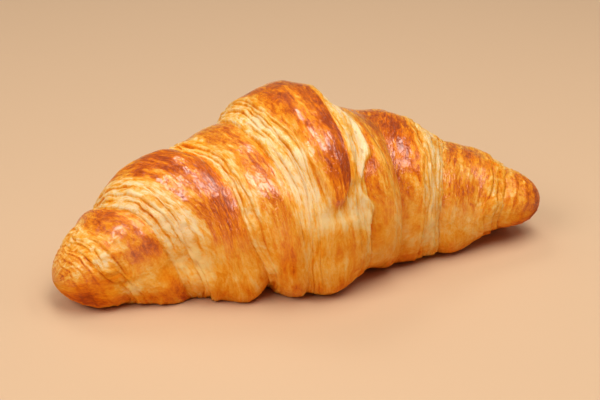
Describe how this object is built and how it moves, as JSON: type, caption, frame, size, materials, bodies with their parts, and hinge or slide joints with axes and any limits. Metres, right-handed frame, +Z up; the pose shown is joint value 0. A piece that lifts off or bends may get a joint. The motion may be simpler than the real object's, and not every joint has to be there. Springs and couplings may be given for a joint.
{
  "type": "croissant",
  "caption": "Baked butter croissant lying flat: a slightly bent spindle of rolled laminated dough with stepped wraps, a raised middle wrap ending in a point on the front, and blunt tips.",
  "frame": {"origin": "middle of the footprint box, on the surface the croissant lies on", "axes": "+X from the left tip to the right tip, the long way; +Z up, the short way; -Y is the front, where the last wrap's point shows"},
  "size_m": [0.1652, 0.0784, 0.0581],
  "materials": {
    "crust": "egg-washed and baked: glossy orange-brown on the tops of the wraps, matt pale gold where the laminated edges show"
  },
  "bodies": {
    "root": {"croissant": "crust"}
  },
  "joints": []
}
